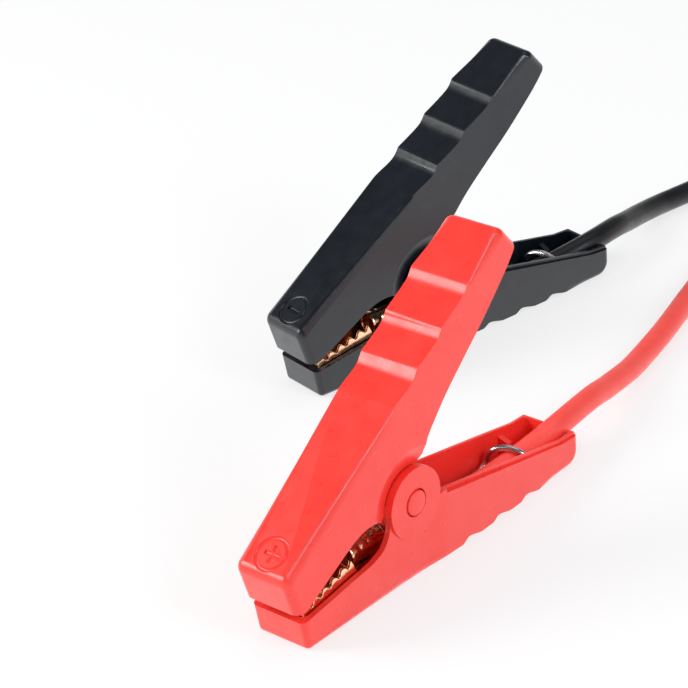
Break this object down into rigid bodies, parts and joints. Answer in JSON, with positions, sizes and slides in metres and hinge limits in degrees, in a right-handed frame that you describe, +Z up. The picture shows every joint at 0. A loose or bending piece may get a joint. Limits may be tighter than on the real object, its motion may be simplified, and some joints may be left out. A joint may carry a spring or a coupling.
{
  "type": "battery clamp lead set",
  "caption": "Pair of sprung alligator battery clamps, red and black, each with copper jaws and a flexible lead, the leads tied together and ending in one two-pole plug.",
  "frame": {"origin": "centre of the bottom of the box round the two clamps, on the surface they stand on, the leads and their plug left out", "axes": "+X along the red positive clamp from its nose to its tail, +Y from the red clamp towards the black one, +Z up"},
  "size_m": [0.32, 0.1217, 0.0759],
  "materials": {
    "red_plastic": "satin injection-moulded",
    "black_plastic": "satin injection-moulded",
    "red_silicone": "smooth",
    "black_silicone": "smooth",
    "copper_plate": "bright copper-plated steel",
    "copper_strands": "fine bare strands",
    "pin_steel": "plain",
    "spring_steel": "bright plated wire",
    "plug_nylon": "moulded",
    "contact_brass": "turned",
    "tie_nylon": "moulded"
  },
  "bodies": {
    "lower_halves": {"positive_lower_shell": "red_plastic", "positive_lower_jaw": "copper_plate", "positive_crimp_barrel": "copper_plate", "positive_conductor": "copper_strands", "positive_pivot_pin": "pin_steel", "positive_pin_cap_near": "red_plastic", "positive_pin_cap_far": "red_plastic", "positive_torsion_spring": "spring_steel", "positive_lead": "red_silicone", "positive_plug_contact": "contact_brass", "negative_lower_shell": "black_plastic", "negative_lower_jaw": "copper_plate", "negative_crimp_barrel": "copper_plate", "negative_conductor": "copper_strands", "negative_pivot_pin": "pin_steel", "negative_pin_cap_near": "black_plastic", "negative_pin_cap_far": "black_plastic", "negative_torsion_spring": "spring_steel", "negative_lead": "black_silicone", "negative_plug_contact": "contact_brass", "plug_housing": "plug_nylon", "plug_cover": "plug_nylon", "lead_tie": "tie_nylon"},
    "positive_upper": {"positive_upper_shell": "red_plastic", "positive_upper_jaw": "copper_plate"},
    "negative_upper": {"negative_upper_shell": "black_plastic", "negative_upper_jaw": "copper_plate"}
  },
  "joints": [
    {"name": "positive_handle_hinge", "type": "hinge", "parent": "lower_halves", "child": "positive_upper", "pos_m": [-0.05632, -0.03775, 0.0203], "axis": [0, 1, 0], "range_deg": [0, 45], "stiffness_Nm_per_rad": 1.3, "springref_deg": -45.84, "deforming": ["positive_torsion_spring"]},
    {"name": "negative_handle_hinge", "type": "hinge", "parent": "lower_halves", "child": "negative_upper", "pos_m": [0.03659, 0.03015, 0.0203], "axis": [0.2016, 0.9795, 0], "range_deg": [0, 45], "stiffness_Nm_per_rad": 1.3, "springref_deg": -45.84, "deforming": ["negative_torsion_spring"]}
  ]
}
